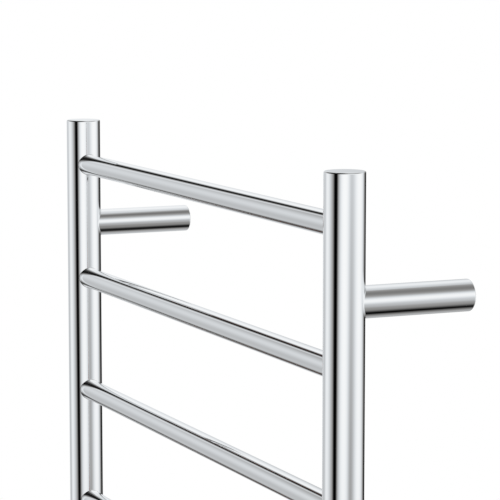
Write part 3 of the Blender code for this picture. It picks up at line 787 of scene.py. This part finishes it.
class WARMER_OT_posts(bpy.types.Operator):
    """Builds the four wall posts with their bosses and set screws"""

    bl_idname = "warmer.posts"
    bl_label = "Wall posts"

    def execute(self, context):
        tubes = context.scene.warmer_tubes
        fittings = context.scene.warmer_fittings
        for place in PLACES:
            self.post(place, tubes)
            self.boss(place, fittings)
            node = "set_screw_" + place
            at = axis_of(node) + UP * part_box(node)[0].z
            socket_screw(node, at, DOWN, flats=2.5 * MM)
        return {"FINISHED"}

    def post(self, place, sizes):
        node = "wall_post_" + place
        radius = span(node).x / 2
        inner = radius - sizes.post_wall
        host = span("upright_left").x / 2
        reach = -middle("upright_left").y
        screw = middle("set_screw_" + place)
        width = span("set_screw_" + place).x
        ends = flared_end(radius, inner, sizes.weld, host, let_in=0.4 * MM)
        # local x is across the upright, which is the rack's X; local y is its Z
        rings = [[(across, height - reach, rise) for across, rise, height in ring] for ring in ends]
        wall_end = rounded(
            [
                (radius, screw.y - width, 0),
                (radius, screw.y + width, 0),
                (radius, 0, sizes.post_edge),
                (inner, 0, EASED),
                (inner, -reach / 2, 0),
            ]
        )
        # the last corner, inside the bore, only shows where the one before it leads
        for far, level in wall_end[:-1]:
            rings.append([(x, along, z) for x, z, along in circle(far, level, TUBE_SIDES)])
        at = (middle(node).x, 0, middle(node).z)
        piece = finished(node, "tube", joined(rings), "chrome", at)
        start = Vector((screw.x, screw.y, middle(node).z - inner + MM))
        drill(piece, start, DOWN * 5 * MM, width / 2 + DRILL_CLEARANCE)

    def boss(self, place, sizes):
        node = "wall_boss_" + place
        outer = span(node).x / 2
        length = span(node).y
        groove = -middle("set_screw_" + place).y
        half = span("set_screw_" + place).x / 2 + 0.8 * MM
        slope = 1.1 * MM
        floor = outer - 2.2 * MM
        bore = sizes.boss_bore / 2
        head = sizes.boss_head / 2
        shoulder = length - 6 * MM
        corners = [
            (bore, 0, EASED),
            (outer, 0, EASED),
            (outer, groove - half - slope, BROKEN),
            (floor, groove - half, EASED),
            (floor, groove + half, EASED),
            (outer, groove + half + slope, BROKEN),
            (outer, length, SOFT),
            (head, length, BROKEN),
            (head, shoulder, EASED),
            (bore, shoulder, BROKEN),
        ]
        at = (middle(node).x, 0, middle(node).z)
        turned(node, "turned", corners, "steel", at, FROM_WALL)


def socket_screw(node, at, outward, flats):
    """A set screw with a hexagon socket. The point given is the middle of its socket end."""
    length = abs(span(node).dot(outward))
    radius = span(node).x / 2
    edge = 0.18 * radius
    lip = 0.64 * flats
    mouth = 0.1 * MM
    depth = 0.72 * flats
    drill_point = 0.25 * flats
    outline = rounded([(0, -length, 0), (radius, -length, edge), (radius, 0, edge), (lip, 0, 0)], steps=3)
    rings = [circle(*spot) for spot in outline]
    rings += [hexagon(flats, -mouth), hexagon(flats, -depth), circle(0, -depth - drill_point)]
    finished(node, "socket", joined(rings, closed=False), "steel", at, outward)


class WARMER_OT_cap_screws(bpy.types.Operator):
    """Builds the small screws that lock the bottom caps from behind"""

    bl_idname = "warmer.cap_screws"
    bl_label = "Cap screws"

    def execute(self, context):
        for side in SIDES:
            node = "cap_screw_" + side
            at = Vector((middle(node).x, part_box(node)[1].y, middle(node).z))
            socket_screw(node, at, TO_WALL, flats=1.5 * MM)
        return {"FINISHED"}


class WARMER_OT_gland(bpy.types.Operator):
    """Builds the supply gland under the left upright"""

    bl_idname = "warmer.gland"
    bl_label = "Supply gland"

    def execute(self, context):
        sizes = context.scene.warmer_fittings
        at = axis_of("gland_nut")
        self.body(sizes, at)
        self.nut(sizes, at)
        sleeve("gland_seal", "sleeve", 3.1 * MM, (EASED, BROKEN, BROKEN, EASED), "rubber", at)
        gasket("gland_gasket", hole=5.8 * MM)
        return {"FINISHED"}

    def body(self, sizes, at):
        low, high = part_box("gland_body")
        hex_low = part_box("gland_nut")[1].z + 0.05 * MM
        hex_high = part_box("gland_gasket")[0].z - 0.02 * MM
        bore = sizes.gland_bore / 2
        thread = 5.7 * MM
        flats = sizes.gland_flats
        corner = flats / 2 / math.cos(math.pi / 6)
        chamfer = 0.7 * MM
        # how far each corner is cut back and the level of that cut, in chamfers from the end
        cuts = ((1, 0), (0.5, 0.3), (0, 0.6))
        rings = [circle(bore, low.z), circle(bore, high.z), circle(thread, high.z), circle(thread, hex_high)]
        rings += [hexagon(flats, hex_high - chamfer * down, corner - chamfer * cut) for cut, down in cuts]
        rings += [hexagon(flats, hex_low + chamfer * up, corner - chamfer * cut) for cut, up in cuts[::-1]]
        rings += [circle(thread, hex_low), circle(thread, low.z)]
        finished("gland_body", "hexagon", joined(rings), "nickel", at)

    def nut(self, sizes, at):
        low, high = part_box("gland_nut")
        outer = span("gland_nut").x / 2
        inner = 5.85 * MM
        bore = sizes.gland_bore / 2
        floor = low.z + 2 * MM
        rim = 0.5 * MM
        grip_low = low.z + 2.6 * MM
        grip_high = high.z - 0.6 * MM
        grip_steps = 10
        run_out = 1 / 6  # share of the grip over which its flutes fade at each end
        dome = 2.4 * MM
        mouth = 0.4 * MM

        def fluted(radius, level, depth=0):
            def radius_at(turn):
                wave = (1 - math.cos(turn * sizes.flutes)) / 2
                return radius - depth * wave**2

            return ring_of(radius_at, level, FITTING_SIDES * 2)

        rings = [fluted(inner, high.z), fluted(outer - rim, high.z)]
        for sine, cosine in quarter(ROUNDING_STEPS):
            rings.append(fluted(outer - rim * (1 - sine), high.z - rim * (1 - cosine)))
        for step in range(grip_steps + 1):
            part = step / grip_steps
            fade = min(1, min(part, 1 - part) / run_out)
            level = grip_high + (grip_low - grip_high) * part
            rings.append(fluted(outer, level, sizes.flute_depth * fade))
        for sine, cosine in quarter(ROUNDING_STEPS * 2)[1:]:
            rings.append(fluted(outer - dome * (1 - cosine), grip_low - (grip_low - low.z) * sine))
        rings += [fluted(bore + mouth, low.z), fluted(bore, low.z + mouth)]
        rings += [fluted(bore, floor), fluted(inner, floor)]
        finished("gland_nut", "dome", joined(rings), "nickel", at)


class WARMER_OT_switch(bpy.types.Operator):
    """Builds the push switch under the right upright: bezel, lit ring, button and spring"""

    bl_idname = "warmer.switch"
    bl_label = "Push switch"

    def execute(self, context):
        sizes = context.scene.warmer_fittings
        at = axis_of("switch_body")
        self.bezel(sizes, at)
        self.lens(sizes, at)
        self.button(sizes, at)
        self.spring(sizes, at)
        gasket("switch_gasket", hole=7.8 * MM)
        return {"FINISHED"}

    def bezel(self, sizes, at):
        low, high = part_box("switch_body")
        outer = span("switch_body").x / 2
        gap = 0.1 * MM
        lens_out = span("indicator_ring").x / 2 + gap
        lens_in = span("indicator_ring").x / 2 - sizes.lens_width - gap
        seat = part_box("indicator_ring")[1].z
        face = low.z + 1.8 * MM
        bore = span("switch_button").x / 2 + 0.2 * MM
        barrel = 7.7 * MM
        corners = [
            (bore, low.z, 0.15 * MM),
            (lens_in, low.z, CRISP),
            (lens_in, seat, 0),
            (lens_out, seat, 0),
            (lens_out, low.z, CRISP),
            (outer, low.z, SOFT),
            (outer, face, 0.12 * MM),
            (barrel, face, 0),
            (barrel, high.z, EASED),
            (bore, high.z, 0),
        ]
        turned("switch_body", "bezel", corners, "chrome", at, sides=TUBE_SIDES)

    def lens(self, sizes, at):
        inner = span("indicator_ring").x / 2 - sizes.lens_width
        edge = 0.25 * MM
        sleeve("indicator_ring", "lens", inner, (edge, edge, 0, 0), "lens", at, TUBE_SIDES)

    def button(self, sizes, at):
        low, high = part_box("switch_button")
        outer = span("switch_button").x / 2
        head = low.z + 8 * MM
        stem = 1.9 * MM
        rim = outer - 1.1 * MM
        steps = 14
        parts = [step / steps for step in range(steps + 1)]
        outline = [(rim * part, low.z + sizes.button_dish * (1 - part**2)) for part in parts]
        outline += rounded(
            [
                (rim, low.z, 0),
                (outer, low.z, 0.55 * MM),
                (outer, head, EASED),
                (stem, head, 0),
                (stem, high.z, BROKEN),
                (0, high.z, 0),
            ]
        )[1:]
        shape = joined([circle(*spot) for spot in outline], closed=False)
        finished("switch_button", "dished", shape, "chrome", at, body=BUTTON)

    def spring(self, sizes, at):
        """A coil with closed ends."""
        low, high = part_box("switch_spring")
        wire = sizes.spring_wire / 2
        radius = span("switch_spring").x / 2 - wire
        turns = sizes.spring_turns
        free = high.z - low.z - 2 * wire
        closed = 0.75  # turns lying close at each end
        closed_rise = closed * sizes.spring_wire * 1.05  # closed turns all but touch
        open_pitch = (free - 2 * closed_rise) / (turns - 2 * closed)
        section = [math.tau * side / WIRE_SIDES for side in range(WIRE_SIDES)]
        rings = []
        for step in range(turns * COIL_STEPS + 1):
            turn = step / COIL_STEPS
            rise = closed_rise * min(turn, closed) / closed
            rise += open_pitch * max(0, min(turn, turns - closed) - closed)
            rise += closed_rise * max(0, turn - turns + closed) / closed
            out = Vector((math.cos(math.tau * turn), math.sin(math.tau * turn), 0))
            heart = out * radius + UP * (low.z + wire + rise)
            rings.append([heart + (out * math.cos(way) + UP * math.sin(way)) * wire for way in section])
        tips = [sum(ring, Vector()) / len(ring) for ring in (rings[0], rings[-1])]
        shape = joined([[tips[0]], *rings, [tips[1]]], closed=False)
        piece = finished("switch_spring", "coil", shape, "steel", at)
        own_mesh(piece)


class WARMER_OT_wiring(bpy.types.Operator):
    """Gives every part that stays as packed its own finish"""

    bl_idname = "warmer.wiring"
    bl_label = "Inner parts"

    def execute(self, context):
        slots = {part["node"]: part["material_slot"] for part in frame["record"]["subparts"]}
        for name, node in frame["nodes"].items():
            if not node.hide_render:
                for place in node.material_slots:
                    place.material = finishes()["Towel warmer " + slots[name]]
        return {"FINISHED"}


# ---- studio


def direction(azimuth, elevation):
    """The way to a point this far round to the right from straight in front, and this far up."""
    flat = math.cos(elevation)
    return Vector((math.sin(azimuth) * flat, -math.cos(azimuth) * flat, math.sin(elevation)))


class Felt(NamedTuple):
    """A soft-edged strip of felt on the tent. Its directions and its reaches are in degrees."""

    azimuth: float
    elevation: float
    sideways: tuple  # how far it reaches to the left and to the right
    upright: tuple  # how far it reaches down and up
    depth: float = 1  # the share of the light that its middle takes
    firmness: float = 2  # how suddenly its edges end

    def left_over(self, azimuth, elevation):
        """The share of the tent's light that this strip leaves in one direction."""
        turn = (azimuth - self.azimuth + 180) % 360 - 180
        # degrees of azimuth narrow towards the poles, except in the last ten degrees there
        turn *= math.cos(math.radians(max(-80, min(80, elevation))))
        rise = elevation - self.elevation
        across = turn / self.sideways[1 if turn > 0 else 0]
        along = rise / self.upright[1 if rise > 0 else 0]
        reach = abs(across) ** self.firmness + abs(along) ** self.firmness
        return 1 - self.depth * math.exp(-reach)


FELTS = {
    "front black strip": Felt(18, -5, (12, 10), (21, 30), firmness=4.5),
    "front soft strip": Felt(20, 10, (35, 20), (60, 31), depth=0.99),
    "left grey sheet": Felt(-67, -12, (32, 18), (18, 22), depth=0.46),
    "side black strip": Felt(-88, 16, (7.5, 7), (2.5, 50), firmness=3.5),
    "side grey sheet": Felt(-74, 34, (3.5, 90), (20, 72), depth=0.68),
    "low side strip": Felt(-89, -18, (9, 6.5), (9, 2.5), depth=0.99, firmness=3),
    "low side sheet": Felt(-93, -27, (8, 7.5), (3, 6), depth=0.92, firmness=3),
    "back black sheet": Felt(-146, -13, (25, 27), (18, 38), firmness=3),
    "right grey sheet": Felt(102, -14, (17, 24), (26, 16), depth=0.62),
    "high right sheet": Felt(154, 39, (37, 28), (16, 30), depth=0.94),
    "low black sheet": Felt(160, -59, (84, 21), (58, 25)),
    "low grey sheet": Felt(-164, -54, (24, 43), (22, 67), depth=0.66),
    "front canopy": Felt(-3, 36, (49, 82), (22, 32), firmness=6),
    "front apron": Felt(26, -32, (90, 90), (16, 12)),
    "overhead sheet": Felt(10, 76, (19, 20), (14, 20), depth=0.99, firmness=6),
    "low edge strip": Felt(-105, -26, (3, 4), (12, 10), depth=0.25, firmness=2.5),
    "low front ring": Felt(-5, -26, (46, 62), (5, 4.5), depth=0.7, firmness=4),
}
COOLEST_GREY = 0.68
COOLNESS = 0.03  # how far its blue stands above its green, and its red below
COOL_RANGE = 0.34  # the greys this far from it are neutral
WARMEST = -0.012  # the least coolness, in the greys further off


def tent_colour(azimuth, elevation, white):
    """The tent's colour in one direction: cool in the light greys, and all but neutral elsewhere."""
    light = white
    for felt in FELTS.values():
        light *= felt.left_over(azimuth, elevation)
    cool = max(COOLNESS * (1 - ((light - COOLEST_GREY) / COOL_RANGE) ** 2), WARMEST)
    return (light * (1 - cool), light, light * (1 + cool), 1)


class WARMER_OT_studio(bpy.types.Operator):
    """Sets the camera, the lamp, the white surroundings, the floor and the light tent"""

    bl_idname = "warmer.studio"
    bl_label = "Studio"

    def execute(self, context):
        studio = context.scene.warmer_studio
        self.camera(context, studio)
        self.lamp(studio)
        self.surroundings(context, studio)
        self.floor(studio)
        self.tent(studio)
        context.scene.view_settings.view_transform = "Standard"
        return {"FINISHED"}

    def camera(self, context, studio):
        back = direction(studio.azimuth, studio.elevation)
        aim = Vector((studio.aim_across, middle("rung_1").y, studio.aim_height))
        camera = in_scene("camera", bpy.data.cameras.new("camera"))
        camera.data.lens = studio.lens
        camera.data.clip_start = 0.01
        camera.data.clip_end = 60
        camera.location = aim + back * studio.distance
        camera.rotation_euler = back.to_track_quat("Z", "Y").to_euler()
        context.scene.camera = camera

    def lamp(self, studio):
        lamp = in_scene("lamp", bpy.data.lights.new("lamp", "SUN"))
        lamp.data.energy = studio.sun_strength
        lamp.data.angle = studio.sun_angle
        lamp.visible_glossy = False
        to_lamp = Vector((0.35, -0.55, 0.9))
        lamp.rotation_euler = to_lamp.to_track_quat("Z", "Y").to_euler()

    def surroundings(self, context, studio):
        """Plain white where it is seen, straight or in a mirror, and dimmer where it lights."""
        world = bpy.data.worlds.new("surroundings")
        world.use_nodes = True
        tree = world.node_tree
        tree.nodes.clear()
        path = tree.nodes.new("ShaderNodeLightPath")
        seen = Flow(path.outputs["Is Camera Ray"])
        seen = seen.at_least(Flow(path.outputs["Is Glossy Ray"]))
        seen = seen.at_least(Flow(path.outputs["Is Transmission Ray"]))
        strength = studio.room_light + seen * (1 - studio.room_light)
        sockets = {"Color": (1, 1, 1, 1), "Strength": strength}
        light = add_node(tree, "ShaderNodeBackground", None, sockets)
        add_node(tree, "ShaderNodeOutputWorld", None, {"Surface": light})
        context.scene.world = world

    def floor(self, studio):
        """A round floor that fades out towards its rim, and that only shows from above."""
        radius = studio.floor_radius
        steps = 12
        # from the rim inwards, so that its faces look up
        rings = [circle(radius * step / steps, 0) for step in range(steps, -1, -1)]
        floor = in_scene("floor", mesh_of("floor", joined(rings, closed=False)))
        floor.location = (0, middle("rung_1").y, CAD_LOW.z - studio.floor_drop)
        floor.visible_glossy = False
        finish = Finish("Studio floor")
        base = studio.floor_colour
        finish.paint(
            base_color=finish.blend(finish.noise(3), base, shade_of(base, 1.01)),
            roughness=0.9,
            specular_ior_level=0.0,
        )
        settings = {"operation": "LENGTH"}
        spot = finish.node("ShaderNodeVectorMath", settings, {0: finish.place()}, "Value")
        rim = step_up(spot * (1 / radius), start=0.5, rate=2.2)
        soft_rim = rim * rim * (3 - 2 * rim)
        underside = finish.node("ShaderNodeNewGeometry", output="Backfacing")
        clear = finish.node("ShaderNodeBsdfTransparent")
        solid = Flow(finish.surface.outputs["BSDF"])
        sockets = {0: soft_rim.at_least(underside), 1: solid, 2: clear}
        whole = finish.node("ShaderNodeMixShader", None, sockets)
        feed(finish.tree.nodes["Material Output"].inputs["Surface"], whole)
        floor.data.materials.append(finish.material)

    def tent(self, studio):
        """A glowing ball round the rack that only its reflections see."""
        rows = 120
        columns = 240
        centre = (CAD_LOW + CAD_HIGH) / 2
        turns = [-180 + 360 * column / columns for column in range(columns)]
        rings = []
        shades = []
        for row in range(rows + 1):
            elevation = -90 + 180 * row / rows
            ways = [direction(math.radians(azimuth), math.radians(elevation)) for azimuth in turns]
            rings.append([centre + way * studio.tent_radius for way in ways])
            shades += [tent_colour(azimuth, elevation, studio.tent_white) for azimuth in turns]
        shape = joined(rings, closed=False)
        layer = shape.verts.layers.float_color.new("shade")
        for vertex, shade in zip(shape.verts, shades):
            vertex[layer] = shade
        tent = in_scene("light_tent", mesh_of("light_tent", shape))
        tent.visible_camera = False
        tent.visible_diffuse = False
        tent.visible_shadow = False
        cloth = bpy.data.materials.new("Studio tent")
        cloth.use_nodes = True
        tree = cloth.node_tree
        tree.nodes.clear()
        shade = add_node(tree, "ShaderNodeAttribute", {"attribute_name": "shade"}, None, "Color")
        glow = add_node(tree, "ShaderNodeEmission", None, {"Color": shade})
        add_node(tree, "ShaderNodeOutputMaterial", None, {"Surface": glow})
        cloth.cycles.emission_sampling = "NONE"
        tent.data.materials.append(cloth)


# ---- panel and registering

OPERATORS = (
    WARMER_OT_studio,
    WARMER_OT_uprights,
    WARMER_OT_rungs,
    WARMER_OT_posts,
    WARMER_OT_cap_screws,
    WARMER_OT_gland,
    WARMER_OT_switch,
    WARMER_OT_wiring,
)


class WARMER_PT_panel(bpy.types.Panel):
    """Lists the sizes, the colours and the operators"""

    bl_idname = "WARMER_PT_panel"
    bl_label = "Towel warmer"
    bl_space_type = "VIEW_3D"
    bl_region_type = "UI"
    bl_category = "Towel warmer"

    def draw(self, context):
        layout = self.layout
        for operator in OPERATORS:
            layout.operator(operator.bl_idname)
        for group in GROUPS:
            box = layout.box()
            settings = getattr(context.scene, group)
            for name in settings.__annotations__:
                box.prop(settings, name)


GROUPS = {
    "warmer_tubes": TubeSizes,
    "warmer_fittings": FittingSizes,
    "warmer_colours": FinishColours,
    "warmer_studio": StudioSettings,
}


def register():
    for name, group in GROUPS.items():
        bpy.utils.register_class(group)
        setattr(bpy.types.Scene, name, bpy.props.PointerProperty(type=group))
    for operator in OPERATORS:
        bpy.utils.register_class(operator)
    bpy.utils.register_class(WARMER_PT_panel)


def unregister():
    bpy.utils.unregister_class(WARMER_PT_panel)
    for operator in reversed(OPERATORS):
        bpy.utils.unregister_class(operator)
    for name, group in reversed(GROUPS.items()):
        delattr(bpy.types.Scene, name)
        bpy.utils.unregister_class(group)


def main():
    register()
    bpy.ops.warmer.studio()
    bpy.ops.warmer.uprights()
    bpy.ops.warmer.rungs()
    bpy.ops.warmer.posts()
    bpy.ops.warmer.cap_screws()
    bpy.ops.warmer.gland()
    bpy.ops.warmer.switch()
    bpy.ops.warmer.wiring()


if __name__ == "__main__":
    main()
